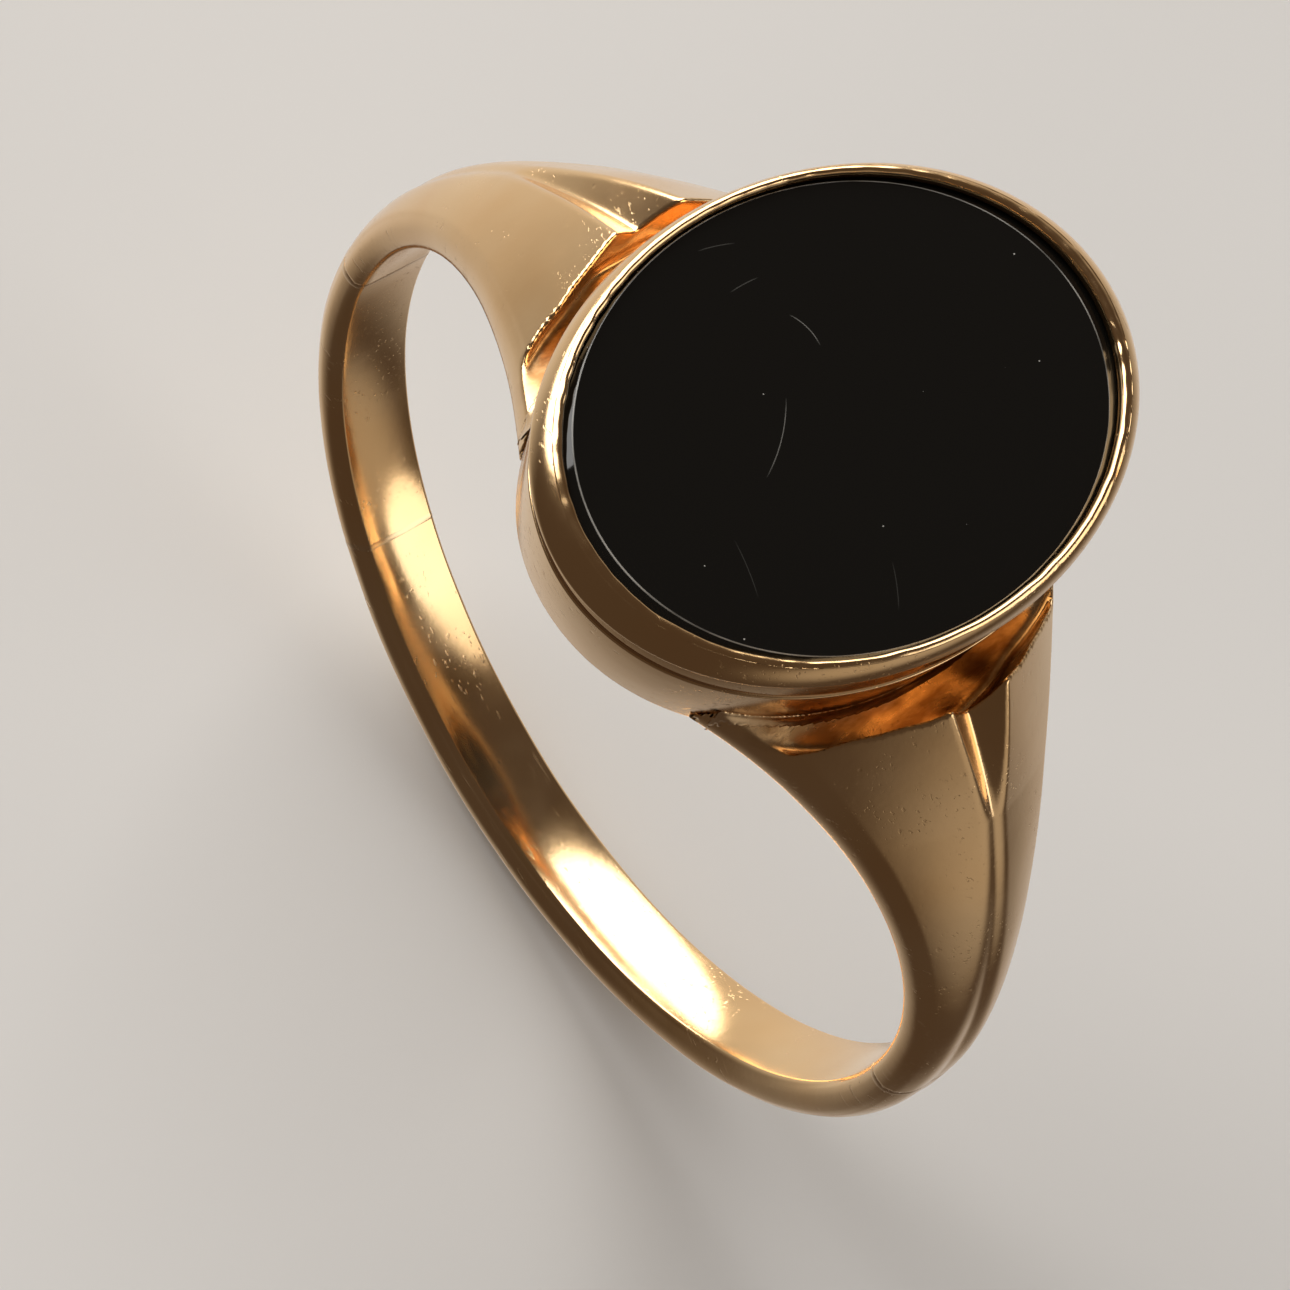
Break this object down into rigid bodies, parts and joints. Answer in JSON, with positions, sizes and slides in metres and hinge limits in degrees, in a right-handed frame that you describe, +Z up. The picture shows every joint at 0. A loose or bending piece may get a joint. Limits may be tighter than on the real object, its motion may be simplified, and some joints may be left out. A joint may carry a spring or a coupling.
{
  "type": "signet ring",
  "caption": "Finger ring with a flat oval black stone in a rub-over collar, on a tapered collet between fluted shoulders and a half-round hoop.",
  "frame": {"origin": "centre of the finger hole", "axes": "+Y along the finger, +Z up through the stone, +X across the hoop to the right-hand shoulder"},
  "size_m": [0.02, 0.012, 0.0225],
  "materials": {
    "gold": "polished rose-yellow gold with fine hairline scratches",
    "solder": "polished gold solder, slightly paler",
    "onyx": "polished black onyx with a few light scratches"
  },
  "bodies": {
    "root": {"onyx_tablet": "onyx", "bezel_collar": "gold", "collar_seam": "solder", "collet": "gold", "bearing_ledge": "gold", "left_shoulder": "gold", "right_shoulder": "gold", "left_head_solder": "solder", "right_head_solder": "solder", "left_shank": "gold", "right_shank": "gold", "sizing_seam": "solder", "left_shank_seam": "solder", "right_shank_seam": "solder"}
  },
  "joints": []
}
